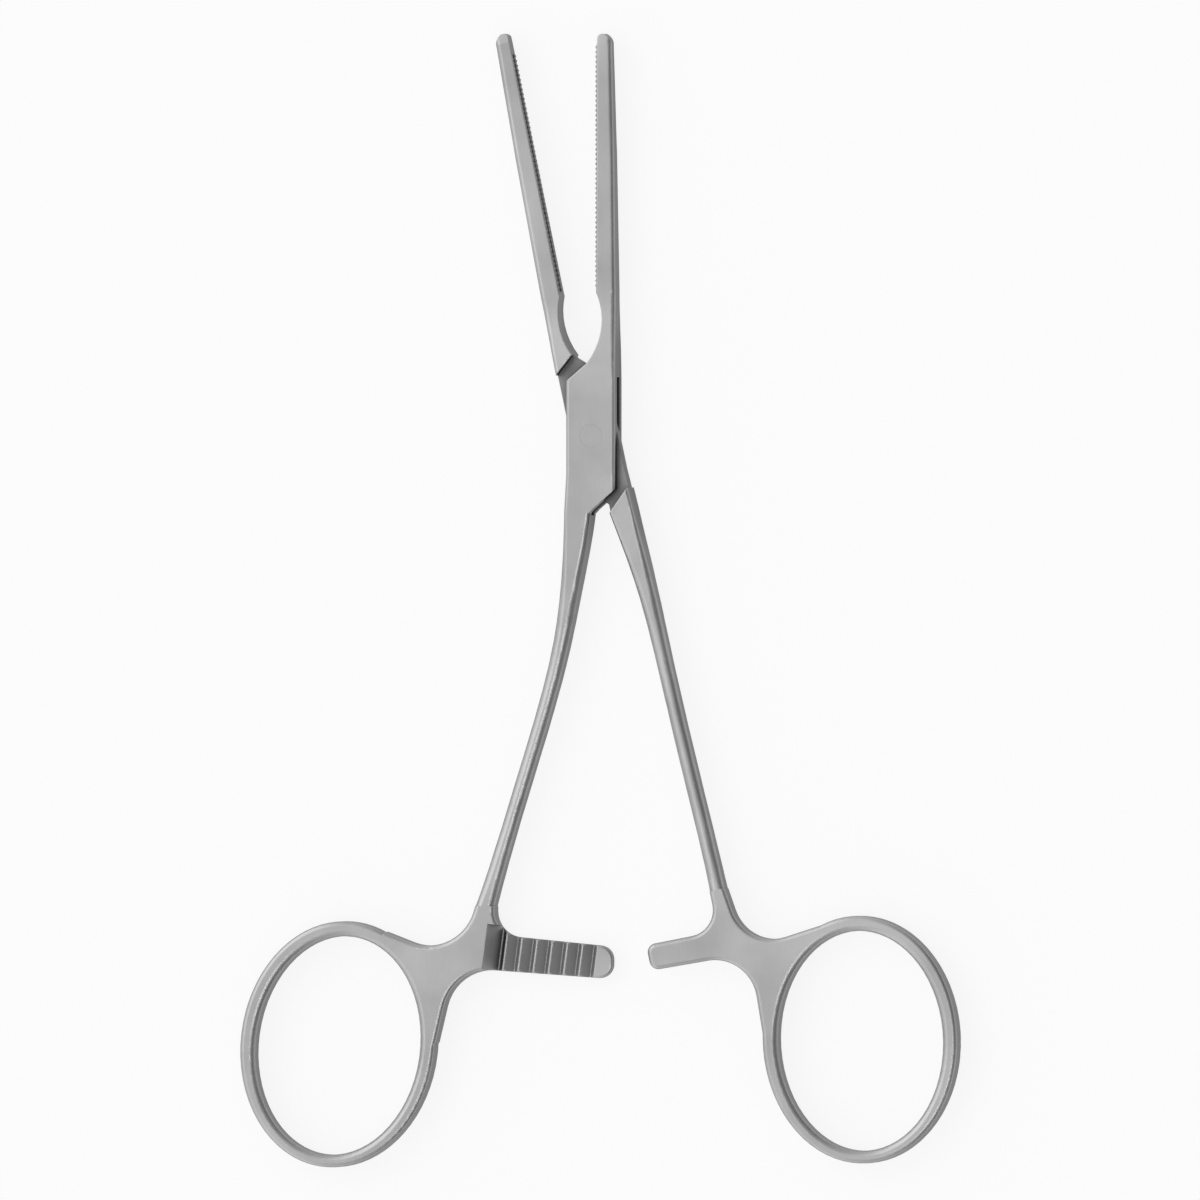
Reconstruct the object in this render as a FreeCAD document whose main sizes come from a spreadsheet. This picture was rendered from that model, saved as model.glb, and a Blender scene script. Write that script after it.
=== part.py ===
import FreeCAD, Part
import Sketcher
import os
import re
from FreeCAD import Placement, Rotation, Vector
from math import cos, radians, sin, tan

# Ring-handled vascular clamp with a box lock, lying on its back.
# +Y runs along the jaws, +X to the right, +Z up from the table.
# The origin is on the hinge axis, on the underside of the box.
# Every half is drawn as it stands with the jaws closed, then the insert half
# is turned about the hinge to the opening at which the clamp lies.

SIZES = [
    # box lock
    ("box_thick", 4.6, "thickness of the box"),
    ("box_left_x", 3.15, "hinge axis to the left side of the box"),
    ("box_right_x", 3.0, "hinge axis to the right side of the box"),
    ("box_round", 0.4, "rounding of the long edges of the box"),
    ("slot_thick", 1.7, "height of the slot between the cheeks"),
    ("slot_wall", 7.35, "hinge axis to each end wall of the slot"),
    ("web_gap", 0.05, "running gap between web and cheek"),
    ("web_left_x", 2.8, "hinge axis to the left edge of the web"),
    ("web_right_x", 3.05, "hinge axis to the right edge of the web"),
    ("web_end_gap", 0.2, "gap between web and upper slot wall when closed"),
    ("web_low", 5.3, "hinge axis to the lower bevel of the web"),
    ("cheek_up", 7.15, "hinge axis to the upper free edge of the cheeks"),
    ("cheek_low", 6.95, "hinge axis to the lower free edge of the cheeks"),
    ("shoulder_up_gap", 0.95, "closed gap between upper shoulder and cheeks"),
    ("shoulder_low_gap", 0.45, "closed gap between lower shoulder and cheeks"),
    ("pin_radius", 1.4, "hinge pin radius"),
    ("pin_press", 0.01, "radial gap of the pin in the cheeks"),
    ("pin_play", 0.05, "radial gap of the pin in the web"),
    # jaws
    ("heel_y", 17.9, "hinge axis to the heel of the jaws"),
    ("heel_face", 0.5, "centre line to the toothed face at the heel"),
    ("heel_width", 2.45, "jaw width at the heel"),
    ("heel_thick", 3.1, "jaw thickness at the heel"),
    ("notch_round", 8.6, "radius of the relief behind the jaws"),
    ("jaw_mid_run", 17.0, "heel to the middle station of the jaw"),
    ("jaw_mid_width", 2.2, "jaw width at the middle station"),
    ("jaw_mid_thick", 2.5, "jaw thickness at the middle station"),
    ("jaw_end_run", 13.6, "middle station to the start of the tip"),
    ("jaw_end_width", 1.85, "jaw width at the start of the tip"),
    ("jaw_end_thick", 1.9, "jaw thickness at the start of the tip"),
    ("tip_run", 1.1, "length of the rounded tip"),
    ("tip_fall", 1.8, "length of the curve of the tip on its back"),
    ("tip_round", 1.9, "radius of that curve"),
    ("tip_corner", 0.45, "rounding of the tip towards the teeth"),
    ("jaw_round", 0.6, "rounding of the back of the jaws"),
    ("insert_taper", 0.22, "how far the insert jaw leans over at its tip"),
    ("insert_extra", 1.25, "extra reach of the insert jaw"),
    ("jaw_tooth_pitch", 0.6, "pitch of the jaw teeth"),
    ("jaw_tooth_high", 0.26, "height of the jaw teeth"),
    ("jaw_row_width", 0.5, "width of one row of jaw teeth"),
    ("jaw_groove", 0.62, "groove between the two rows"),
    # shanks: runs are shared, so the two ratchet arms stay level
    ("root_y", 9.5, "hinge axis to the root of the shanks"),
    ("root_thick", 4.4, "shank thickness at the root"),
    ("run_a", 3.5, "root to the second station"),
    ("run_b", 5.0, "second to third station"),
    ("run_c", 8.0, "third to fourth station"),
    ("run_d", 10.0, "fourth to fifth station"),
    ("run_e", 11.0, "fifth to sixth station"),
    ("run_f", 11.0, "sixth station to the hub"),
    ("thick_a", 4.0, "shank thickness at the second station"),
    ("thick_b", 3.4, "shank thickness at the third station"),
    ("bar_thick", 2.7, "shank thickness along the round bar"),
    ("bar_round", 0.88, "rounding of the bar"),
    ("box_root_x", 1.82, "box shank centre left of the hinge at its root"),
    ("box_root_width", 3.25, "box shank width at its root"),
    ("box_width_a", 2.95, "box shank width at the second station"),
    ("box_width_b", 2.5, "box shank width at the third station"),
    ("box_bar_width", 1.98, "box shank width along the bar"),
    ("box_lean_a", 0.3, "box shank lean, root to second station"),
    ("box_lean_b", 0.63, "box shank lean, second to third"),
    ("box_lean_c", 1.38, "box shank lean, third to fourth"),
    ("box_lean_d", 2.67, "box shank lean, fourth to fifth"),
    ("box_lean_e", 3.4, "box shank lean, fifth to sixth"),
    ("box_lean_f", 3.4, "box shank lean, sixth to hub"),
    ("insert_root_x", 1.73, "insert shank centre right of the hinge at its root"),
    ("insert_root_width", 3.05, "insert shank width at its root"),
    ("insert_width_a", 2.7, "insert shank width at the second station"),
    ("insert_width_b", 2.35, "insert shank width at the third station"),
    ("insert_bar_width", 1.9, "insert shank width along the bar"),
    ("insert_lean_a", 0.33, "insert shank lean, root to second station"),
    ("insert_lean_b", 0.44, "insert shank lean, second to third"),
    ("insert_lean_c", 0.35, "insert shank lean, third to fourth"),
    ("insert_lean_d", 0.22, "insert shank lean, fourth to fifth"),
    ("insert_lean_e", 0.35, "insert shank lean, fifth to sixth"),
    ("insert_lean_f", 0.29, "insert shank lean, sixth to hub"),
    # hubs, rings and ratchet arms
    ("ring_thick", 3.0, "thickness of hubs and rings"),
    ("ring_inner_round", 0.7, "rounding of the inside of the rings"),
    ("ring_outer_round", 0.5, "rounding of the outside of the rings"),
    ("ring_long", 15.25, "half length of a ring outside"),
    ("ring_wide", 12.25, "half width of a ring outside"),
    ("ring_wall_long", 1.7, "ring wall at its ends, on the average"),
    ("ring_wall_wide", 1.9, "ring wall at its sides"),
    ("ring_wall_shift", 0.15, "how far the opening sits below the centre"),
    ("hub_round", 0.55, "rounding of the hubs and arms"),
    ("valley_round", 5.95, "valley between left ring and shank"),
    ("insert_valley_round", 5.3, "valley between right ring and shank"),
    ("crotch_round", 3.25, "corner between shank and arm"),
    ("fairing_round", 5.8, "hollow between left ring and arm"),
    ("insert_fairing_round", 5.3, "hollow between right ring and arm"),
    ("box_ring_x", 18.6, "hub to the centre of the left ring, across"),
    ("box_ring_drop", 1.85, "hub top down to the top of the left ring"),
    ("box_ring_tilt", 8.2, "lean of the left ring"),
    ("insert_ring_x", 13.75, "hub to the centre of the right ring, across"),
    ("insert_ring_drop", 6.5, "hub top down to the top of the right ring"),
    ("insert_ring_tilt", 9.5, "lean of the right ring"),
    ("box_hub_half", 1.25, "half width of the left hub at its top"),
    ("insert_hub_half", 1.0, "half width of the right hub at its top"),
    ("arm_drop", 3.9, "hub top to the upper edge of the left arm"),
    ("arm_reach", 15.9, "hub to the end of the left arm"),
    ("arm_width", 4.1, "width of the left arm"),
    ("arm_fall", 1.1, "fall of the left arm along its length"),
    ("insert_arm_drop", 4.95, "hub top to the upper edge of the right arm"),
    ("insert_arm_reach", 10.2, "hub to the end of the right arm"),
    ("insert_arm_width", 3.35, "width of the right arm"),
    ("arm_end_round", 1.75, "rounding of the end of the left arm"),
    ("insert_end_round", 1.1, "rounding of the end of the right arm"),
    ("rack_gap", 0.1, "gap between the crests of the two racks"),
    ("rack_tooth_high", 0.6, "height of the ratchet teeth"),
    ("rack_pitch", 1.92, "pitch of the ratchet teeth"),
    ("rack_teeth", 7, "number of ratchet teeth on the left arm"),
    ("insert_rack_teeth", 4, "number of ratchet teeth on the right arm"),
    ("rack_rake", 0.5, "lean of the locking faces over their height"),
    ("rack_land", 0.12, "flat crest of a ratchet tooth"),
    ("rack_start", 2.45, "hub to the first ratchet tooth, along the arm"),
    ("insert_rack_start", 2.3, "hub to the first ratchet tooth of the right arm"),
    ("rack_round", 0.35, "rounding of the ends of the ratchet teeth"),
    ("rack_over", 1.3, "how far the step runs past the upper edge of the arm"),
    ("arm_tilt", 7.5, "fall of the left rack in degrees"),
    ("insert_arm_tilt", 3.8, "rise of the right rack in degrees"),
    ("ramp_start", 0.7, "hub to the top of the left ramp, along the arm"),
    ("insert_ramp_in", 0.9, "how far the right ramp reaches into its hub"),
    ("ramp_run", 1.6, "length of the ramp from hub to rack"),
    # pose
    ("opening", 12.0, "angle at which the clamp lies open"),
]

NAMES = {name for name, value, note in SIZES}

doc = FreeCAD.newDocument("clamp")
sheet = doc.addObject("Spreadsheet::Sheet", "Sizes")


def fill_sheet():
    for row, (name, value, note) in enumerate(SIZES, 1):
        sheet.set("A%d" % row, note)
        sheet.set("B%d" % row, str(value))
        sheet.setAlias("B%d" % row, name)
    doc.recompute()


def bound(text):
    """The expression text with every size name tied to the sheet."""
    return re.sub(r"[a-z_]+", lambda m: "Sizes." + m.group() if m.group() in NAMES else m.group(), text)


def value(text):
    found = sheet.evalExpression(text)
    return float(getattr(found, "Value", found))


def plane_of(body, role):
    return next(f for f in body.Origin.OriginFeatures if f.Role == role)


def new_sketch(body, name, role, offset="0"):
    sketch = body.newObject("Sketcher::SketchObject", name)
    sketch.AttachmentSupport = (plane_of(body, role), [""])
    sketch.MapMode = "FlatFace"
    sketch.setExpression("AttachmentOffset.Base.z", bound(offset))
    return sketch


def fix_point(sketch, edge, end, node):
    """Tie one end of an edge to a pair of expressions."""
    for kind, text in zip(("DistanceX", "DistanceY"), node):
        index = sketch.addConstraint(Sketcher.Constraint(kind, -1, 1, edge, end, value(text)))
        sketch.setExpression("Constraints[%d]" % index, bound(text))


def arc_between(start, end, radius, left_turn):
    """The short arc from start to end; a left turn runs counter-clockwise."""
    chord = end - start
    half = chord.Length / 2
    side = Vector(-chord.y, chord.x, 0).normalize()
    rise = max(radius * radius - half * half, 0) ** 0.5
    centre = (start + end) / 2 + side * (rise if left_turn else -rise)
    bulge = centre + ((start + end) / 2 - centre).normalize() * radius
    if rise == 0:
        bulge = centre + side * (-radius if left_turn else radius)
    return Part.Arc(start, bulge, end)


def corner_arc(points, i, radius):
    """Tangent points and sense of the rounding of a corner."""
    corner = points[i]
    back = (points[i - 1] - corner).normalize()
    ahead = (points[(i + 1) % len(points)] - corner).normalize()
    reach = radius / tan(back.getAngle(ahead) / 2)
    left_turn = back.cross(ahead).z < 0
    return corner + back * reach, corner + ahead * reach, left_turn


def outline(sketch, nodes, bends=None, rounds=None):
    """Closed outline through nodes.

    bends gives (radius, left turn) for the edge that leaves a node,
    rounds gives the radius of a corner, tangent to both its edges.
    """
    bends = bends or {}
    rounds = rounds or {}
    count = len(nodes)
    points = [Vector(value(x), value(y), 0) for x, y in nodes]
    corners = {i: corner_arc(points, i, value(text)) for i, text in rounds.items()}
    chain = []
    for i in range(count):
        if i in rounds:
            first, last, left_turn = corners[i]
            chain.append(("round", i, first, last, left_turn, rounds[i]))
        start = corners[i][1] if i in rounds else points[i]
        after = (i + 1) % count
        end = corners[after][0] if after in rounds else points[after]
        if i in bends:
            chain.append(("bend", i, start, end, bends[i][1], bends[i][0]))
        else:
            chain.append(("line", i, start, end, True, None))
    edges = []
    for kind, i, start, end, left_turn, text in chain:
        if kind == "line":
            edge = sketch.addGeometry(Part.LineSegment(start, end), False)
        else:
            edge = sketch.addGeometry(arc_between(start, end, value(text), left_turn), False)
            index = sketch.addConstraint(Sketcher.Constraint("Radius", edge, value(text)))
            sketch.setExpression("Constraints[%d]" % index, bound(text))
        edges.append((edge, 1, 2) if left_turn else (edge, 2, 1))
    for k, (kind, i, start, end, left_turn, text) in enumerate(chain):
        edge, first, last = edges[k]
        after, after_first, after_last = edges[(k + 1) % len(chain)]
        after_kind = chain[(k + 1) % len(chain)][0]
        smooth = kind == "round" or after_kind == "round"
        join = "Tangent" if smooth else "Coincident"
        sketch.addConstraint(Sketcher.Constraint(join, edge, last, after, after_first))
        if kind == "round":
            corner = sketch.addGeometry(Part.Point(points[i]), True)
            fix_point(sketch, corner, 1, nodes[i])
            sketch.addConstraint(Sketcher.Constraint("PointOnObject", corner, 1, edges[k - 1][0]))
            sketch.addConstraint(Sketcher.Constraint("PointOnObject", corner, 1, after))
        elif chain[k - 1][0] != "round":
            fix_point(sketch, edge, first, nodes[i])
    return sketch


def section(body, name, along, left, right, thick, round_left, round_right=None):
    """Rounded bar section across the clamp at the given Y, centred on the box."""
    sketch = new_sketch(body, name, "XZ_Plane", "-(%s)" % along)
    a = round_left
    b = round_right or round_left
    low = "box_thick/2-(%s)/2" % thick
    high = "box_thick/2+(%s)/2" % thick
    nodes = [
        ("%s+(%s)" % (left, a), low), ("%s-(%s)" % (right, b), low),
        (right, "%s+(%s)" % (low, b)), (right, "%s-(%s)" % (high, b)),
        ("%s-(%s)" % (right, b), high), ("%s+(%s)" % (left, a), high),
        (left, "%s-(%s)" % (high, a)), (left, "%s+(%s)" % (low, a)),
    ]
    bends = {1: (b, True), 3: (b, True), 5: (a, True), 7: (a, True)}
    return outline(sketch, nodes, bends)


def loft(body, name, sections, ruled=False):
    feature = body.newObject("PartDesign::AdditiveLoft", name)
    feature.Profile = sections[0]
    feature.Sections = sections[1:]
    feature.Ruled = ruled
    for sketch in sections:
        sketch.Visibility = False
    doc.recompute()
    return feature


def pad(body, name, sketch, length, down=False):
    feature = body.newObject("PartDesign::Pad", name)
    feature.Profile = sketch
    feature.Reversed = down
    feature.setExpression("Length", bound(length))
    doc.recompute()
    return feature


def pocket(body, name, sketch, length, up=True):
    """Cut the sketch; the volume has to fall."""
    before = body.Shape.Volume
    feature = body.newObject("PartDesign::Pocket", name)
    feature.Profile = sketch
    feature.Reversed = up
    feature.setExpression("Length", bound(length))
    doc.recompute()
    if not body.Shape.Volume < before - 1e-6:
        raise RuntimeError(name + " cuts nothing")
    return feature


def plan_cut(body, name, nodes, bends=None, level="-1", height="box_thick+2"):
    sketch = outline(new_sketch(body, name + "_plan", "XY_Plane", level), nodes, bends)
    return pocket(body, name, sketch, height)


RUNS = ["run_a", "run_b", "run_c", "run_d", "run_e", "run_f"]
HUB_Y = "-(root_y+%s)" % "+".join(RUNS)


def lean_sum(side, count):
    words = ["%s_lean_%s" % (side, letter) for letter in "abcdef"[:count]]
    return "+".join(["%s_root_x" % side] + words)


def shank(body, side, sign):
    """Shank from the root at the box to the hub, one smooth loft."""
    widths = ["%s_root_width" % side, "%s_width_a" % side, "%s_width_b" % side]
    widths += ["%s_bar_width*1.04" % side, "%s_bar_width" % side, "%s_bar_width" % side]
    widths += ["%s_hub_half*2" % side]
    thicks = ["root_thick", "thick_a", "thick_b", "bar_thick*1.08", "bar_thick", "bar_thick", "ring_thick"]
    rounds = ["box_round", "box_round*1.3", "bar_round*0.85", "bar_round", "bar_round", "bar_round", "bar_round"]
    sections = []
    for i in range(7):
        along = "-(%s)" % "+".join(["root_y"] + RUNS[:i])
        middle = "%s(%s)" % (sign, lean_sum(side, i))
        left = "%s-(%s)/2" % (middle, widths[i])
        right = "%s+(%s)/2" % (middle, widths[i])
        name = "%s_shank_%s" % (side, "abcdefg"[i])
        sections.append(section(body, name, along, left, right, thicks[i], rounds[i]))
    return loft(body, side + "_shank", sections)


def jaw(body, side, sign):
    """Jaw from the heel to the tip; the toothed face is flat, the back rounded."""
    stations = [
        ("heel_y", "0", "heel_width", "heel_thick"),
        ("heel_y+jaw_mid_run", "jaw_mid_run", "jaw_mid_width", "jaw_mid_thick"),
        ("heel_y+jaw_mid_run+jaw_end_run", "jaw_mid_run+jaw_end_run", "jaw_end_width", "jaw_end_thick"),
        ("heel_y+jaw_mid_run+jaw_end_run+tip_run", "jaw_mid_run+jaw_end_run+tip_run",
         "jaw_end_width", "jaw_end_thick*0.86"),
    ]
    sections = []
    for i, (along, run, width, thick) in enumerate(stations):
        face = "heel_face"
        if side == "insert":
            face = "(heel_face*0.8-insert_taper*(%s)/(jaw_mid_run+jaw_end_run))" % run
            along += "+insert_extra*(%s)/(jaw_mid_run+jaw_end_run)" % run
        inner = "%s%s" % (sign, face)
        outer = "%s(%s+%s)" % (sign, face, width)
        left, right = (inner, outer) if sign == "" else (outer, inner)
        rounds = ("0.12", "jaw_round") if sign == "" else ("jaw_round", "0.12")
        name = "%s_jaw_%s" % (side, "abcd"[i])
        sections.append(section(body, name, along, left, right, thick, rounds[0], rounds[1]))
    loft(body, side + "_jaw", sections, True)
    jaw_tip(body, side, sign)


def jaw_tip(body, side, sign):
    """Round the tip in plan: a long curve on the back, a small one at the teeth."""
    tip = "heel_y+jaw_mid_run+jaw_end_run+tip_run"
    face = "heel_face"
    if side == "insert":
        tip += "+insert_extra*(1+tip_run/(jaw_mid_run+jaw_end_run))"
        face = "(heel_face*0.8-insert_taper*(1+tip_run/(jaw_mid_run+jaw_end_run)))"
    back = "(%s+jaw_end_width+0.05)" % face
    nodes = [(back + "+1", tip + "-tip_fall"), (back + "+1", tip + "+1"), (face + "-1", tip + "+1"),
             (face + "-1", tip + "-tip_corner"), (face, tip + "-tip_corner"),
             (face + "+jaw_end_width/2", tip), (back, tip + "-tip_fall")]
    nodes = [("%s(%s)" % (sign, x), y) for x, y in nodes]
    left_turn = sign == "-"
    plan_cut(body, side + "_tip", nodes, {4: ("tip_corner*1.7", left_turn), 5: ("tip_round", left_turn)})


# Share of the way from box to heel, and share of the fall in thickness there.
FALL = [("0", "0"), ("0.25", "0.12"), ("0.5", "0.5"), ("0.75", "0.88"), ("1", "1")]


def blank(body, side, left, right, root_left, root_right):
    """Block of the box lock, from the shank root to the root of the jaw."""
    sections = [
        section(body, side + "_blank_a", "-root_y", root_left, root_right, "root_thick", "box_round"),
        section(body, side + "_blank_b", "-root_y*0.5", left, right, "box_thick", "box_round"),
        section(body, side + "_blank_c", "cheek_up", left, right, "box_thick", "box_round"),
    ]
    return loft(body, side + "_blank", sections, True)


def neck(body, side, left, right, heel_left, heel_right):
    """Root of the jaw, which thins smoothly from the box to the heel."""
    sections = []
    for i, (share, fall) in enumerate(FALL):
        along = "(cheek_up+(heel_y-cheek_up)*%s)" % share
        thick = "(box_thick-(box_thick-heel_thick)*%s)" % fall
        low = "(%s+(%s-(%s))*%s)" % (left, heel_left, left, share)
        high = "(%s+(%s-(%s))*%s)" % (right, heel_right, right, share)
        soft = "(box_round+(jaw_round-box_round)*%s)" % share
        name = "%s_neck_%s" % (side, "abcde"[i])
        sections.append(section(body, name, along, low, high, thick, soft))
    return loft(body, side + "_neck", sections)


def ellipse(sketch, centre_x, centre_y, long, wide, tilt):
    """Ellipse whose long half axis leans over to the right by tilt."""
    middle = Vector(value(centre_x), value(centre_y), 0)
    lean = radians(value(tilt))
    axis = Vector(sin(lean), cos(lean), 0)
    side = Vector(cos(lean), -sin(lean), 0)
    curve = Part.Ellipse(middle + axis * value(long), middle + side * value(wide), middle)
    edge = sketch.addGeometry(curve, False)
    sketch.exposeInternalGeometry(edge)
    fix_point(sketch, edge, 3, (centre_x, centre_y))
    for line, size in ((edge + 1, long), (edge + 2, wide)):
        index = sketch.addConstraint(Sketcher.Constraint("Distance", line, 2 * value(size)))
        sketch.setExpression("Constraints[%d]" % index, bound("2*(%s)" % size))
    upward = sketch.getPoint(edge + 1, 2).y > sketch.getPoint(edge + 1, 1).y
    angle = "90-(%s)" % tilt if upward else "-90-(%s)" % tilt
    index = sketch.addConstraint(Sketcher.Constraint("Angle", edge + 1, radians(value(angle))))
    sketch.setExpression("Constraints[%d]" % index, "(%s)*1 deg" % bound(angle))
    return sketch


LOW = "(box_thick-ring_thick)/2"
HIGH = "(box_thick+ring_thick)/2"
HUB_X = {"box": "-(%s)" % lean_sum("box", 6), "insert": "(%s)" % lean_sum("insert", 6)}
SIDE = {"box": "-", "insert": "+"}


def new_body(name):
    body = doc.addObject("PartDesign::Body", name)
    doc.recompute()
    return body


def box_hub_outline():
    """Left hub and arm: across to the right and down from the top of the hub."""
    lower = "arm_drop+arm_width"
    nodes = [
        ("-box_hub_half", "0"), ("-box_hub_half-1.9", "arm_drop+2.95"),
        ("-box_ring_x+6", "box_ring_drop+1.35"), ("-box_ring_x+5.3", "box_ring_drop+2.4"),
        ("-box_ring_x+ring_wide-0.75", "box_ring_drop+ring_long+0.5"), ("-box_ring_x+ring_wide+0.2", "box_ring_drop+ring_long-0.3"),
        ("-box_ring_x+ring_wide+2.4", lower + "-0.4"), ("arm_reach", lower + "+arm_fall-0.1"),
        ("arm_reach", "arm_drop+arm_fall"), ("box_hub_half", "arm_drop-0.35"), ("box_hub_half", "0"),
    ]
    bends = {3: ("ring_wide*1.05", False)}
    rounds = {1: "valley_round", 6: "fairing_round", 7: "arm_end_round", 8: "arm_end_round", 9: "crotch_round"}
    return nodes, bends, rounds


def insert_hub_outline():
    """Right hub and arm, drawn the same way."""
    lower = "insert_arm_drop+insert_arm_width"
    nodes = [
        ("-insert_hub_half", "0"), ("-insert_hub_half", "insert_arm_drop"),
        ("-insert_arm_reach", "insert_arm_drop-0.15"), ("-insert_arm_reach", lower + "-0.3"),
        ("insert_ring_x-ring_wide+0.85", lower + "+0.2"), ("insert_ring_x-ring_wide+0.4", "insert_ring_drop+ring_long-3.3"),
        ("insert_ring_x-ring_wide+1.45", "insert_ring_drop+ring_long-2.5"),
        ("insert_ring_x-0.7", "insert_ring_drop+1.15"), ("insert_ring_x-0.6", "insert_ring_drop+0.32"),
        ("insert_hub_half+1.05", "insert_ring_drop+1.45"), ("insert_hub_half", "0"),
    ]
    bends = {6: ("ring_wide*1.05", False)}
    rounds = {1: "crotch_round", 2: "insert_end_round", 3: "insert_end_round",
              4: "insert_fairing_round", 9: "insert_valley_round"}
    return nodes, bends, rounds


def rim_edges(shape, keep):
    """Names of the edges in the top and bottom planes that pass the test."""
    levels = (value(LOW), value(HIGH))
    names = []
    for i, edge in enumerate(shape.Edges, 1):
        box = edge.BoundBox
        if box.ZLength < 1e-6 and any(abs(box.ZMin - z) < 1e-6 for z in levels) and keep(edge):
            names.append("Edge%d" % i)
    return names


def fillet(body, name, names, radius):
    base = body.Tip
    feature = body.newObject("PartDesign::Fillet", name)
    feature.Base = (base, names)
    feature.setExpression("Radius", bound(radius))
    doc.recompute()
    return feature


def ring(side):
    """Finger ring: one oval inside another, both rims rounded."""
    body = new_body(side + "_ring_body")
    centre_x = "%s%s%s_ring_x" % (HUB_X[side], SIDE[side], side)
    centre_y = "%s-(%s_ring_drop+ring_long)" % (HUB_Y, side)
    tilt = side + "_ring_tilt"
    outer = new_sketch(body, side + "_ring_outside", "XY_Plane", LOW)
    pad(body, side + "_ring_pad", ellipse(outer, centre_x, centre_y, "ring_long", "ring_wide", tilt), "ring_thick")
    fillet(body, side + "_ring_rim", rim_edges(body.Shape, lambda edge: True), "ring_outer_round")
    inner = new_sketch(body, side + "_ring_inside", "XY_Plane", LOW + "-1")
    ellipse(inner, centre_x, centre_y + "-ring_wall_shift", "ring_long-ring_wall_long",
            "ring_wide-ring_wall_wide", tilt)
    pocket(body, side + "_ring_hole", inner, "ring_thick+2")
    hole_length = 2 * 3.2 * value("ring_long-ring_wall_long/2")
    rims = rim_edges(body.Shape, lambda edge: edge.Length < hole_length)
    smallest = min(body.Shape.getElement(name).Length for name in rims)
    rims = [name for name in rims if body.Shape.getElement(name).Length < smallest * 1.001]
    fillet(body, side + "_ring_soft", rims, "ring_inner_round")
    return body


def arm_sketch(body, name, side, down):
    """Sketch upright along the arm: x is the way from the hub, y is height."""
    sketch = body.newObject("Sketcher::SketchObject", name)
    sketch.AttachmentSupport = (plane_of(body, "XZ_Plane"), [""])
    sketch.MapMode = "FlatFace"
    tilt = "arm_tilt" if side == "box" else "insert_arm_tilt"
    sketch.AttachmentOffset = Placement(Vector(0, 0, 0), Rotation(Vector(0, 1, 0), 5))
    turn = "sin(%s*1 deg)" % tilt
    flat = "cos(%s*1 deg)" % tilt
    sketch.setExpression("AttachmentOffset.Rotation.Angle", "%s*1 deg" % bound("-" + tilt))
    sketch.setExpression("AttachmentOffset.Base.x", bound("%s-(%s)*%s" % (HUB_X[side], down, turn)))
    sketch.setExpression("AttachmentOffset.Base.z", bound("-(%s)+(%s)*%s" % (HUB_Y, down, flat)))
    return sketch


def pattern(body, name, original, sketch, axis, length, count, backwards=False):
    feature = body.newObject("PartDesign::LinearPattern", name)
    feature.Originals = [original]
    feature.Direction = (sketch, [axis])
    feature.Reversed = backwards
    feature.setExpression("Length", bound(length))
    feature.setExpression("Occurrences", bound(count))
    body.Tip = feature
    doc.recompute()
    return feature


def rack(body, side):
    """Step the arm down to the crests, round it, and cut the ratchet teeth.

    The left rack faces up, the right one down. Locking faces point at their
    own hub, so the racks slip past each other closing and catch opening.
    """
    if side == "box":
        way, top, width, start, count = "", "arm_drop-0.5", "arm_width", "rack_start", "rack_teeth"
        ramp, reach, up, crest, far = "ramp_start", "arm_reach+2", "+", "(box_thick/2-rack_gap/2)", HIGH
    else:
        way, top, width = "-", "insert_arm_drop+0.45", "insert_arm_width"
        start, count, ramp, reach = "insert_rack_start", "insert_rack_teeth", "(-insert_ramp_in)", "insert_arm_reach+2"
        up, crest, far = "-", "(box_thick/2+rack_gap/2)", LOW
    down = "-" if up == "+" else "+"
    floor = "(%s%srack_tooth_high)" % (crest, down)
    outside = "(%s%s1)" % (far, up)
    low, depth = top + "+" + width + "+3", width + "+3+rack_over"
    rise = "%s(%s+rack_rake)" % (way, start)
    step = arm_sketch(body, side + "_step_profile", side, low)
    outline(step, [(way + ramp, far), ("%s(%s+ramp_run)" % (way, ramp), floor), ("%s%s" % (way, start), floor),
                   (rise, crest), ("%s(%s)" % (way, reach), crest), ("%s(%s)" % (way, reach), outside),
                   (way + ramp, outside)])
    pocket(body, side + "_step", step, depth, up=False)
    fillet(body, side + "_rack_rim", crest_edges(body.Shape, value(crest)), "rack_round")
    groove = arm_sketch(body, side + "_groove_profile", side, low)
    first = "%s(%s+rack_rake+rack_land)" % (way, start)
    last = "%s(%s+rack_pitch+rack_rake)" % (way, start)
    over = "(%s%s0.3)" % (crest, up)
    outline(groove, [(first, crest), ("%s(%s+rack_pitch)" % (way, start), floor), (last, crest),
                     (last, over), (first, over)])
    cut = pocket(body, side + "_groove", groove, depth, up=False)
    grooves = "(%s-1)" % count
    pattern(body, side + "_grooves", cut, groove, "H_Axis", "rack_pitch*(%s-1)" % grooves, grooves, side == "insert")
    return body


def crest_edges(shape, level):
    """Outer edges of the arm in the plane of the crests, without the one across it."""
    names = []
    for i, edge in enumerate(shape.Edges, 1):
        box = edge.BoundBox
        flat = box.ZLength < 1e-6 and abs(box.ZMin - level) < 1e-6
        neighbours = [face for face in shape.ancestorsOfType(edge, Part.Face)]
        upright = any(abs(face.normalAt(0, 0).z) < 1e-6 for face in neighbours)
        if flat and upright:
            names.append("Edge%d" % i)
    return names


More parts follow.
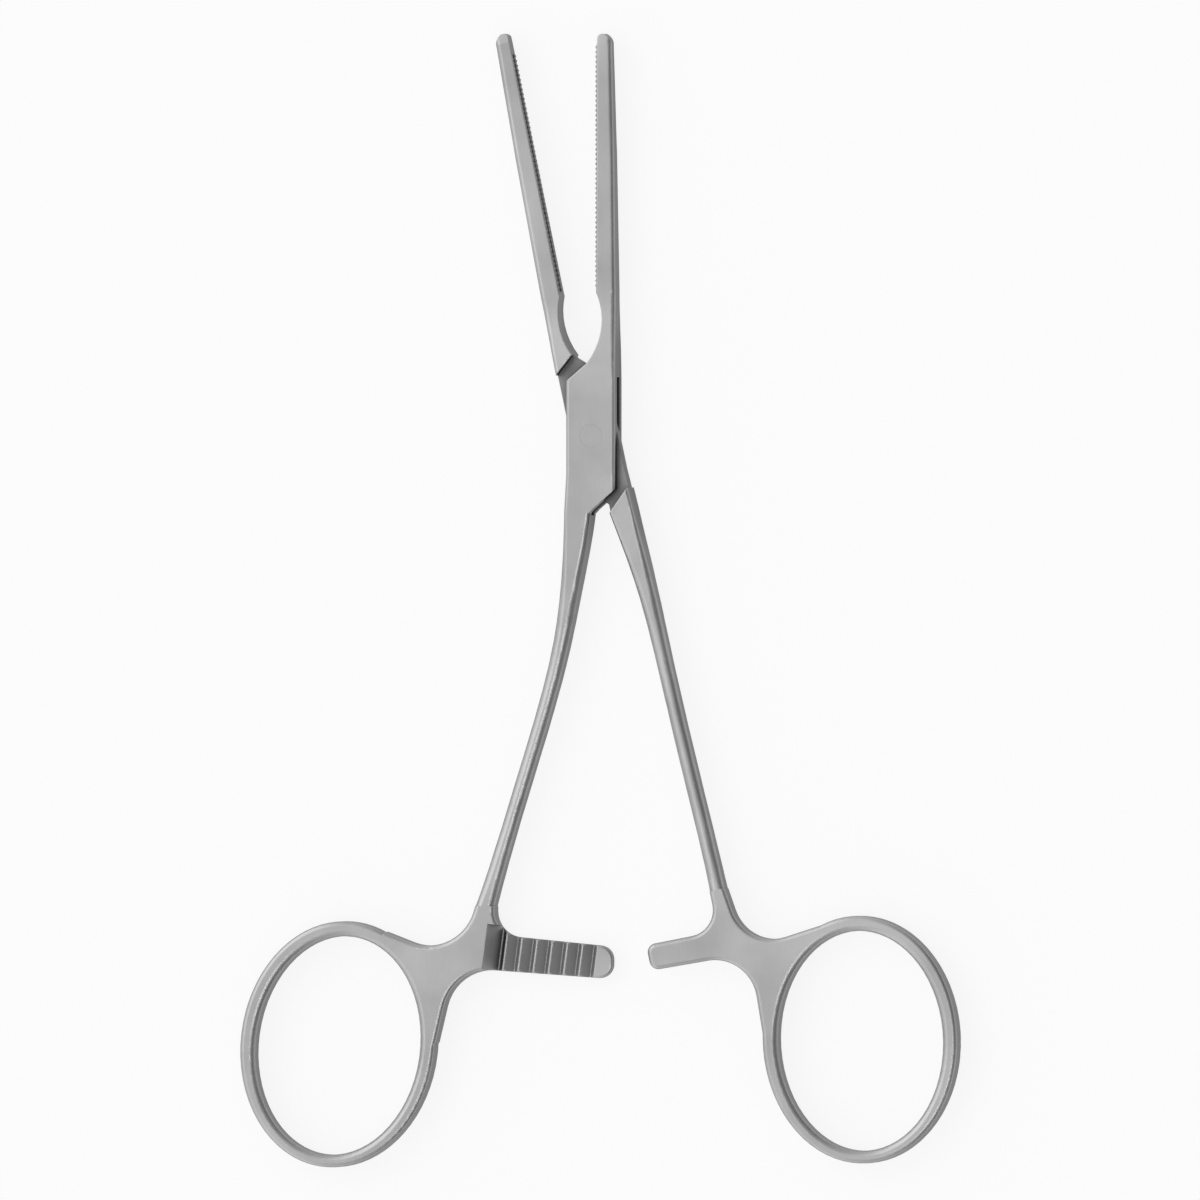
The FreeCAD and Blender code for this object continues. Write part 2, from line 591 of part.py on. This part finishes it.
def hub(side):
    """Hub and ratchet arm at full thickness, rim rounded, then the rack."""
    body = new_body(side + "_hub_body")
    nodes, bends, rounds = box_hub_outline() if side == "box" else insert_hub_outline()
    placed = [("%s+(%s)" % (HUB_X[side], x), "%s-(%s)" % (HUB_Y, y)) for x, y in nodes]
    plan = outline(new_sketch(body, side + "_hub_plan", "XY_Plane", LOW), placed, bends, rounds)
    pad(body, side + "_hub_pad", plan, "ring_thick")
    top = value(HUB_Y)
    buried = value("ring_wide*1.05")

    def open_rim(edge):
        across_top = abs(edge.BoundBox.YMax - top) < 1e-6 and edge.BoundBox.YLength < 1e-6
        in_ring = hasattr(edge.Curve, "Radius") and abs(edge.Curve.Radius - buried) < 1e-3
        short = edge.Length < 2 and not hasattr(edge.Curve, "Radius") and edge.BoundBox.YMax < top - 1.5
        return not across_top and not in_ring and not short

    fillet(body, side + "_hub_rim", rim_edges(body.Shape, open_rim), "hub_round")
    return body


def line_point(distance, x, across, along):
    """Node at x on the line that passes the hinge at that distance.

    across and along are the parts of its unit normal.
    """
    return (x, "((%s)-(%s)*(%s))/(%s)" % (distance, x, across, along))


def box_lock():
    """Box with its slot, the right jaw's root and the left shank."""
    body = new_body("box_lock_body")
    blank(body, "box", "-box_left_x", "box_right_x", "-box_root_x-box_root_width/2", "box_right_x")
    neck(body, "box", "-box_left_x", "box_right_x", "-box_left_x*0.3", "heel_face+heel_width")
    crown = line_point("cheek_up", "-0.45", "-0.65", "0.76")
    plan_cut(body, "box_notch", [
        line_point("cheek_up", "-box_left_x-4", "-0.65", "0.76"), crown,
        ("heel_face", "heel_y-0.15"), ("heel_face", "heel_y+2"), ("-box_left_x-4", "heel_y+2"),
    ], {1: ("notch_round", True)})
    plan_cut(body, "box_foot", [
        line_point("cheek_low", "0.17", "0.657", "-0.754"),
        ("-box_root_x+box_root_width/2", "-root_y"), ("-box_root_x+box_root_width/2", "-root_y-3"),
        ("box_right_x+4", "-root_y-3"), line_point("cheek_low", "box_right_x+4", "0.657", "-0.754"),
    ])
    shank(body, "box", "-")
    jaw(body, "box", "")
    plan_cut(body, "box_slot", [
        line_point("slot_wall", "-box_left_x-3", "0.68", "0.733"),
        line_point("-slot_wall", "-box_left_x-3", "0.68", "0.733"),
        line_point("-slot_wall", "box_right_x+3", "0.68", "0.733"),
        line_point("slot_wall", "box_right_x+3", "0.68", "0.733"),
    ], None, "(box_thick-slot_thick)/2", "slot_thick")
    pin_hole(body, "box_pin_hole", "pin_radius+pin_press")
    jaw_rows(body, "box")
    return body


def insert_lock():
    """Thinned web, the left jaw's root and the right shank, as if closed."""
    body = new_body("insert_lock_body")
    blank(body, "insert", "-web_left_x", "web_right_x", "insert_root_x-insert_root_width/2",
          "insert_root_x+insert_root_width/2")
    neck(body, "insert", "-web_left_x", "web_right_x", "-heel_face*0.8-heel_width", "heel_face")
    plan_cut(body, "insert_notch", [
        line_point("slot_wall-web_end_gap", "web_right_x+4", "0.68", "0.733"),
        ("web_right_x+4", "heel_y+2"), ("-heel_face*0.8", "heel_y+2"), ("-heel_face*0.8", "heel_y-0.15"),
        line_point("slot_wall-web_end_gap", "-0.1", "0.68", "0.733"),
    ], {3: ("notch_round+0.4", True)})
    plan_cut(body, "insert_foot", [
        line_point("-web_low", "-web_left_x-4", "0.78", "0.627"),
        ("-web_left_x-4", "-root_y-3"), ("insert_root_x-insert_root_width/2", "-root_y-3"),
        line_point("-web_low", "insert_root_x-insert_root_width/2", "0.78", "0.627"),
    ])
    shank(body, "insert", "")
    jaw(body, "insert", "-")
    up = "cheek_up+shoulder_up_gap"
    low = "cheek_low+shoulder_low_gap"
    faces = [
        line_point(up, "-web_left_x-3", "-0.64", "0.768"), line_point(low, "-2", "0.676", "-0.737"),
        line_point(low, "web_right_x+3", "0.676", "-0.737"), ("web_right_x+3", "heel_y-4"),
        line_point(up, "2", "-0.64", "0.768"),
    ]
    web = "(slot_thick-2*web_gap)"
    plan_cut(body, "insert_web_top", faces, None, "box_thick/2+%s/2" % web, "box_thick")
    plan_cut(body, "insert_web_under", faces, None, "-box_thick/2-%s/2" % web, "box_thick")
    pin_hole(body, "insert_pin_hole", "pin_radius+pin_play")
    jaw_rows(body, "insert")
    return body


def pin_hole(body, name, radius):
    sketch = new_sketch(body, name + "_plan", "XY_Plane", "-1")
    sketch.addGeometry(Part.Circle(Vector(0, 0, 0), Vector(0, 0, 1), value(radius)), False)
    sketch.addConstraint(Sketcher.Constraint("Coincident", 0, 3, -1, 1))
    index = sketch.addConstraint(Sketcher.Constraint("Radius", 0, value(radius)))
    sketch.setExpression("Constraints[%d]" % index, bound(radius))
    pocket(body, name, sketch, "box_thick+2")


def jaw_rows(body, side):
    """Rows of fine teeth along the jaw: two with a groove between, or one."""
    run = "jaw_mid_run+jaw_end_run"
    if side == "box":
        face, crest, lean = "heel_face-0.03", "heel_face-jaw_tooth_high", "0"
        levels = ["box_thick/2+jaw_groove/2", "box_thick/2-jaw_groove/2-jaw_row_width"]
        sink = "heel_face+0.15"
    else:
        face, crest = "-heel_face*0.8", "-heel_face*0.8+jaw_tooth_high"
        lean = "atan(insert_taper/(%s))" % run
        levels = ["box_thick/2-jaw_row_width/2"]
        sink = "-heel_face*0.8-0.15"
    for i, level in enumerate(levels):
        name = "%s_row_%s" % (side, "ab"[i])
        sketch = new_sketch(body, name + "_plan", "XY_Plane", level)
        low = "heel_y+0.35"
        if side == "insert":
            sketch.AttachmentOffset = Placement(Vector(0, 0, 0), Rotation(Vector(0, 0, 1), -0.5))
            sketch.setExpression("AttachmentOffset.Base.z", bound(level))
            sketch.setExpression("AttachmentOffset.Base.x", bound("-heel_face*0.8"))
            sketch.setExpression("AttachmentOffset.Base.y", bound("heel_y"))
            sketch.setExpression("AttachmentOffset.Rotation.Angle", "-(%s)" % bound(lean))
            face, crest, sink, low = "0.03", "jaw_tooth_high", "-0.15", "0.35"
        high = low + "+jaw_tooth_pitch"
        outline(sketch, [(sink, low), (sink, high), (face, high), (crest, low + "+jaw_tooth_pitch/2"), (face, low)])
        first = pad(body, name + "_tooth", sketch, "jaw_row_width")
        count = "floor((%s-0.6)/jaw_tooth_pitch)" % run
        length = "jaw_tooth_pitch*(%s-1)" % count
        pattern(body, name, first, sketch, "V_Axis", length, count)


def join(name, bodies):
    """One forging out of its lock, ring and hub bodies."""
    whole = doc.addObject("Part::MultiFuse", name)
    whole.Shapes = bodies
    whole.Label = name
    doc.recompute()
    return whole


def hinge_pin():
    pin = doc.addObject("Part::Cylinder", "hinge_pin")
    pin.Label = "hinge_pin"
    pin.setExpression("Radius", bound("pin_radius"))
    pin.setExpression("Height", bound("box_thick"))
    return pin


def open_clamp(half):
    """Turn the insert half about the hinge to the opening at rest."""
    half.Placement = Placement(Vector(0, 0, 0), Rotation(Vector(0, 0, 1), value("opening")))
    half.setExpression("Placement.Rotation.Angle", bound("opening") + "*1 deg")


def check(parts):
    for item in doc.Objects:
        if "Invalid" in item.State or "Error" in item.State:
            raise RuntimeError("%s failed: %s" % (item.Name, item.State))
    for part in parts:
        if part.Shape.isNull() or not part.Shape.isValid() or len(part.Shape.Solids) != 1:
            raise RuntimeError(part.Label + " has no sound shape")


def main():
    fill_sheet()
    halves = []
    for side, lock in (("box", box_lock), ("insert", insert_lock)):
        bodies = [lock(), ring(side), rack(hub(side), side)]
        halves.append(join(side + "_half", bodies))
    open_clamp(halves[1])
    parts = halves + [hinge_pin()]
    doc.recompute()
    check(parts)
    os.makedirs("parts", exist_ok=True)
    for part in parts:
        part.Shape.exportStep("parts/%s.step" % part.Label)


main()
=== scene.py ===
import math

import bpy
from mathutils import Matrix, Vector


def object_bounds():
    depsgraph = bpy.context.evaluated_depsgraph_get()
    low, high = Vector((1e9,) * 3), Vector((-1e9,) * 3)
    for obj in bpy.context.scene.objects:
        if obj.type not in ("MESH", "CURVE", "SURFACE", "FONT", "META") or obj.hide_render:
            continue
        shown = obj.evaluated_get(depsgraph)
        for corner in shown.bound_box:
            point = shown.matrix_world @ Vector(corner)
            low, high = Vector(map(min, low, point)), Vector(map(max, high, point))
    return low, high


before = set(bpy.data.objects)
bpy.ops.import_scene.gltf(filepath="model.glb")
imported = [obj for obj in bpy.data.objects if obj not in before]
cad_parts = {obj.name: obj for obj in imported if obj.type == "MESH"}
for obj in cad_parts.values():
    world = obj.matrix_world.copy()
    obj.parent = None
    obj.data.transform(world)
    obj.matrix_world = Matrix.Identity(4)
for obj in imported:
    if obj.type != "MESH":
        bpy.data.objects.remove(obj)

# Lengths are in metres. The clamp lies flat, its jaws towards +Y, the hinge axis on the origin.
MM = 0.001
CAD_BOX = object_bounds()
LOCK_MIDDLE = 2.3 * MM

# The photograph's frame: 1200 pixels a side, seen from the right of straight down.
PIXEL = 0.12335 * MM
FRAME_PIXELS = 1200
PIVOT_PIXEL = (594.5, 436.0)
PIVOT = Vector((0.0, 0.0, LOCK_MIDDLE))
CAMERA_LEAN = math.radians(12.0)
CAMERA_DISTANCE = 5.0
SENSOR = 36.0

# The sky: how bright it is at each place from the left (-1) to the right (1), both ends
# first, then its level as a whole, and its gain at the horizon up to a height.
SKY_BANDS = (
    (-1.0, 0.36), (1.0, 0.22),
    (-0.8, 0.5), (-0.55, 0.62), (-0.2, 0.37), (0.1, 0.32), (0.4, 0.17), (0.65, 0.12), (0.85, 0.12),
)
SKY_LEVEL = 2.0
HORIZON_GAIN = 1.35
HORIZON_TOP = 0.4

# The lamps: name, place, width and length, watts.
LAMP_AIM = Vector((0.0, -0.02, 0.0))
LAMPS = (
    ("key_lamp", Vector((-0.75, 0.45, 0.8)), 0.9, 1.2, 2.0),
    ("rim_lamp", Vector((0.17, -0.26, 1.0)), 0.26, 0.34, 0.9),
)

# The paper, and how much of it is plain white to the camera and in reflections.
FLOOR_SIDE = 30.0
PAPER_SHADE = 0.93
PAPER_MOTTLE = 0.004
WHITE_SHARE = 0.87

# The steel: brightness, roughness, height of the grain and brightness at grazing angles.
STEEL_TONE = 0.45
STEEL_ROUGH = 0.33
STEEL_GRAIN = 0.22
STEEL_GRAZE = 0.65
GRAIN_HIGH = 0.01 * MM
FORGED_EDGE = 0.2 * MM
PIN_EDGE = 0.05 * MM

# What brightens or darkens the steel, as shares or, for edges, as an added value: a painted
# highlight and lower roughness along the edges, and painted shade on upright walls, in the web and
# slot in the middle of the box lock and in hollows.
EDGE_PAINTED_HIGHLIGHT = 0.14
EDGE_POLISH = 0.07
WALL_SHADE_SHARE = 0.5
LOCK_SHADE_SHARE = 0.72
HOLLOW_SHADE_SHARE = 0.2
HOLLOW_REACH = 2.4 * MM
PIN_AREA = 1.9 * MM

# The middle of noise, where most of its values lie.
NOISE_LOW = 0.3
NOISE_HIGH = 0.7


# Node helpers

def add(tree, kind, **settings):
    """A new node of that kind, with its settings."""
    node = tree.nodes.new(kind)
    for name, value in settings.items():
        setattr(node, name, value)
    return node


def plug(tree, socket, value):
    """Fills a socket by a plain value or by another node's output."""
    if isinstance(value, bpy.types.NodeSocket):
        tree.links.new(value, socket)
    else:
        socket.default_value = value


def feed(tree, node, **inputs):
    """Fills a node's inputs by their names."""
    for name, value in inputs.items():
        plug(tree, node.inputs[name.replace("_", " ")], value)
    return node


def math_node(tree, operation, first, second=0.0, clamp=False):
    """The result of one sum on one or two values or outputs."""
    node = add(tree, "ShaderNodeMath", operation=operation, use_clamp=clamp)
    plug(tree, node.inputs[0], first)
    plug(tree, node.inputs[1], second)
    return node.outputs[0]


def times(tree, first, second):
    """The product of two values or outputs."""
    return math_node(tree, "MULTIPLY", first, second)


def vector_node(tree, operation, *values):
    """The node of one sum on vectors."""
    node = add(tree, "ShaderNodeVectorMath", operation=operation)
    for socket, value in zip(node.inputs, values):
        plug(tree, socket, value)
    return node


def parts_of(tree, vector):
    """The X, Y and Z outputs of a vector."""
    node = add(tree, "ShaderNodeSeparateXYZ")
    plug(tree, node.inputs[0], vector)
    return node.outputs


def spread(tree, source, low, high, to_low, to_high):
    """Maps a value from one range to another, held inside the new range."""
    node = add(tree, "ShaderNodeMapRange")
    feed(tree, node, Value=source, From_Min=low, From_Max=high, To_Min=to_low, To_Max=to_high)
    return node.outputs["Result"]


def swing(tree, source, middle, reach):
    """Maps noise to the values on both sides of a middle."""
    return spread(tree, source, NOISE_LOW, NOISE_HIGH, middle - reach, middle + reach)


def noise(tree, place, scale, detail=2.0, roughness=0.5, stretch=(1.0, 1.0, 1.0)):
    """Noise in the object's own metres, stretched by the mapping's three factors."""
    mapping = add(tree, "ShaderNodeMapping")
    feed(tree, mapping, Vector=place, Scale=stretch)
    node = add(tree, "ShaderNodeTexNoise", noise_dimensions="3D")
    feed(tree, node, Vector=mapping.outputs[0], Scale=scale, Detail=detail, Roughness=roughness)
    return node.outputs["Fac"]


def grey(tree, red_green, blue):
    """A colour whose red and green are alike."""
    node = add(tree, "ShaderNodeCombineColor")
    return feed(tree, node, Red=red_green, Green=red_green, Blue=blue).outputs[0]


# Masks on the steel, most of them for painted highlight and painted shade

def edge_mask(tree, rounded, plain):
    """Near 1 along the sharp edges and 0 on the faces, from the rounded and plain normals; it
    places the painted highlight.
    """
    turn = vector_node(tree, "DOT_PRODUCT", rounded, plain).outputs["Value"]
    return spread(tree, turn, 0.995, 0.86, 0.0, 1.0)


def hollow_shade_mask(tree):
    """Painted shade: 1 on open faces, falling in corners and recesses."""
    node = add(tree, "ShaderNodeAmbientOcclusion", samples=4)
    feed(tree, node, Distance=HOLLOW_REACH)
    return spread(tree, node.outputs["AO"], 0.3, 0.96, HOLLOW_SHADE_SHARE, 1.0)


def wall_shade_mask(tree):
    """Painted shade: 1 on the flat faces of the object, falling on its upright walls."""
    normal = add(tree, "ShaderNodeTexCoord").outputs["Normal"]
    level = math_node(tree, "ABSOLUTE", parts_of(tree, normal)["Z"])
    return spread(tree, level, 0.15, 0.7, WALL_SHADE_SHARE, 1.0)


def lock_shade_mask(tree, place):
    """Painted shade: 1 on the outer faces, less on the web and slot in the middle of the box lock,
    between the two halves.
    """
    parts = parts_of(tree, place)
    height = math_node(tree, "ABSOLUTE", math_node(tree, "SUBTRACT", parts["Z"], LOCK_MIDDLE))
    away = math_node(tree, "ABSOLUTE", parts["Y"])
    outside = spread(tree, height, 1.1 * MM, 1.7 * MM, 0.0, 1.0)
    beyond = spread(tree, away, 11.0 * MM, 14.0 * MM, 0.0, 1.0)
    outer_steel = math_node(tree, "ADD", outside, beyond, True)
    return spread(tree, outer_steel, 0.0, 1.0, LOCK_SHADE_SHARE, 1.0)


def off_pin(tree, place):
    """0 on the ground face around the hinge axis, 1 elsewhere."""
    flat = vector_node(tree, "MULTIPLY", place, (1.0, 1.0, 0.0)).outputs[0]
    distance = vector_node(tree, "LENGTH", flat).outputs["Value"]
    return spread(tree, distance, PIN_AREA, PIN_AREA * 1.15, 0.0, 1.0)


def soft_normal(tree, rounded, plain, share):
    """The rounded normal, blended with the plain one where share is 0."""
    blend = add(tree, "ShaderNodeMix", data_type="VECTOR")
    plug(tree, blend.inputs[0], share)
    plug(tree, blend.inputs[4], plain)
    plug(tree, blend.inputs[5], rounded)
    return vector_node(tree, "NORMALIZE", blend.outputs[1]).outputs[0]


# Materials

def new_material(name):
    """An empty material with its tree and shader."""
    material = bpy.data.materials.new(name)
    material.use_nodes = True
    tree = material.node_tree
    return material, tree, tree.nodes["Principled BSDF"]


def satin_steel(name, edge_radius):
    """Blasted stainless steel: fine grain, faint drawn lines, uneven sheen, edges with lower
    roughness and a painted highlight, and painted shade on walls, in hollows and in the middle of
    the box lock.
    """
    material, tree, shader = new_material(name)
    place = add(tree, "ShaderNodeTexCoord").outputs["Object"]

    clouds = noise(tree, place, 100.0, 3.0, 0.55)
    lines = noise(tree, place, 1.0, 2.0, 0.5, (5200.0, 260.0, 5200.0))
    blasted = noise(tree, place, 7000.0, 3.0, 0.6)
    elsewhere = off_pin(tree, place)
    rounded = feed(tree, add(tree, "ShaderNodeBevel", samples=4), Radius=edge_radius).outputs[0]
    plain = add(tree, "ShaderNodeNewGeometry").outputs["Normal"]
    edges = times(tree, edge_mask(tree, rounded, plain), elsewhere)

    value = spread(tree, clouds, NOISE_LOW, NOISE_HIGH, STEEL_TONE * 0.9, STEEL_TONE * 1.08)
    value = times(tree, value, swing(tree, lines, 1.0, 0.015))
    # A painted highlight: the edges are made lighter in colour.
    value = math_node(tree, "ADD", value, times(tree, edges, EDGE_PAINTED_HIGHLIGHT))
    # Painted shade on the upright walls.
    value = times(tree, value, wall_shade_mask(tree))
    # Painted shade on the web and slot in the middle of the box lock.
    value = times(tree, value, lock_shade_mask(tree, place))
    # Painted shade in corners and recesses, lifted around the pin.
    on_pin = math_node(tree, "SUBTRACT", 1.0, elsewhere)
    value = times(tree, value, math_node(tree, "ADD", hollow_shade_mask(tree), on_pin, True))

    sheen = swing(tree, clouds, STEEL_ROUGH, 0.035)
    sheen = math_node(tree, "ADD", sheen, swing(tree, blasted, 0.0, 0.02))
    sheen = math_node(tree, "SUBTRACT", sheen, times(tree, edges, EDGE_POLISH), True)

    height = math_node(tree, "ADD", times(tree, blasted, 0.8), times(tree, lines, 0.35))
    normal = soft_normal(tree, rounded, plain, elsewhere)
    bump = add(tree, "ShaderNodeBump")
    feed(tree, bump, Strength=STEEL_GRAIN, Distance=GRAIN_HIGH, Height=height, Normal=normal)

    colour = grey(tree, value, times(tree, value, 1.006))
    feed(tree, shader, Base_Color=colour, Roughness=sheen, Normal=bump.outputs[0])
    feed(tree, shader, Metallic=1.0, Specular_Tint=(STEEL_GRAZE, STEEL_GRAZE, STEEL_GRAZE, 1.0))
    return material


def paper(name):
    """The matt white sheet that the clamp lies on, with the faint mottle of paper."""
    material, tree, shader = new_material(name)
    place = add(tree, "ShaderNodeTexCoord").outputs["Object"]
    value = swing(tree, noise(tree, place, 14.0), PAPER_SHADE, PAPER_MOTTLE)
    feed(tree, shader, Base_Color=grey(tree, value, value), Roughness=0.9)

    path = add(tree, "ShaderNodeLightPath").outputs
    seen = math_node(tree, "ADD", path["Is Camera Ray"], path["Is Glossy Ray"], True)
    seen = math_node(tree, "ADD", seen, path["Is Transmission Ray"], True)
    white = feed(tree, add(tree, "ShaderNodeEmission"), Strength=1.0)
    blend = add(tree, "ShaderNodeMixShader")
    plug(tree, blend.inputs[0], times(tree, seen, WHITE_SHARE))
    plug(tree, blend.inputs[1], shader.outputs[0])
    plug(tree, blend.inputs[2], white.outputs[0])
    plug(tree, tree.nodes["Material Output"].inputs["Surface"], blend.outputs[0])
    return material


# The stage: floor, world, lamps and camera

def make_floor():
    """One broad flat sheet under the clamp."""
    bpy.ops.mesh.primitive_plane_add(size=FLOOR_SIDE, location=(0.0, 0.0, CAD_BOX[0].z))
    floor = bpy.context.object
    floor.name = "floor"
    floor.data.materials.append(paper("white_paper"))


def make_world():
    """A soft studio sky: grey overhead, pale on the left and at the horizon, dim on the right."""
    world = bpy.data.worlds.new("studio")
    world.use_nodes = True
    tree = world.node_tree
    parts = parts_of(tree, add(tree, "ShaderNodeTexCoord").outputs["Generated"])
    ramp = add(tree, "ShaderNodeValToRGB")
    plug(tree, ramp.inputs[0], spread(tree, parts["X"], -1.0, 1.0, 0.0, 1.0))
    bands = ramp.color_ramp.elements
    for i, (across, level) in enumerate(SKY_BANDS):
        band = bands[i] if i < 2 else bands.new((across + 1.0) / 2.0)
        band.color = (level, level, level, 1.0)
    strength = times(tree, ramp.outputs["Color"], SKY_LEVEL)
    low = spread(tree, parts["Z"], 0.0, HORIZON_TOP, HORIZON_GAIN, 1.0)
    strength = times(tree, strength, low)
    feed(tree, tree.nodes["Background"], Color=(1.0, 1.0, 1.0, 1.0), Strength=strength)
    bpy.context.scene.world = world


def make_lights():
    """A broad soft box up on the left and a narrow one over the lower right, for the edges."""
    for name, place, width, length, power in LAMPS:
        data = bpy.data.lights.new(name, "AREA")
        data.shape = "RECTANGLE"
        data.size = width
        data.size_y = length
        data.energy = power
        lamp = bpy.data.objects.new(name, data)
        bpy.context.scene.collection.objects.link(lamp)
        lamp.location = place
        lamp.rotation_mode = "QUATERNION"
        lamp.rotation_quaternion = (LAMP_AIM - place).to_track_quat("-Z", "Y")


def make_camera():
    """The camera at the photograph's angle, its frame centred as the photograph is."""
    right = Vector((math.cos(CAMERA_LEAN), 0.0, -math.sin(CAMERA_LEAN)))
    back = Vector((math.sin(CAMERA_LEAN), 0.0, math.cos(CAMERA_LEAN)))
    across = (FRAME_PIXELS / 2 - PIVOT_PIXEL[0]) * PIXEL
    down = (FRAME_PIXELS / 2 - PIVOT_PIXEL[1]) * PIXEL
    centre = PIVOT + right * across - Vector((0.0, 1.0, 0.0)) * down
    data = bpy.data.cameras.new("camera")
    data.sensor_width = SENSOR
    data.lens = SENSOR * CAMERA_DISTANCE / (FRAME_PIXELS * PIXEL)
    data.clip_start = 0.01
    data.clip_end = 20.0
    camera = bpy.data.objects.new("camera", data)
    bpy.context.scene.collection.objects.link(camera)
    camera.location = centre + back * CAMERA_DISTANCE
    camera.rotation_euler = (0.0, CAMERA_LEAN, 0.0)
    bpy.context.scene.camera = camera


# The clamp's own pieces

def dress():
    """Gives each CAD node its steel."""
    outer_steel = satin_steel("satin_steel", FORGED_EDGE)
    turned = satin_steel("pin_steel", PIN_EDGE)
    for name, material in (("box_half", outer_steel), ("insert_half", outer_steel), ("hinge_pin", turned)):
        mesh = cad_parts[name].data
        mesh.materials.clear()
        mesh.materials.append(material)


bpy.context.scene.view_settings.view_transform = "Standard"
make_floor()
make_world()
make_lights()
make_camera()
dress()
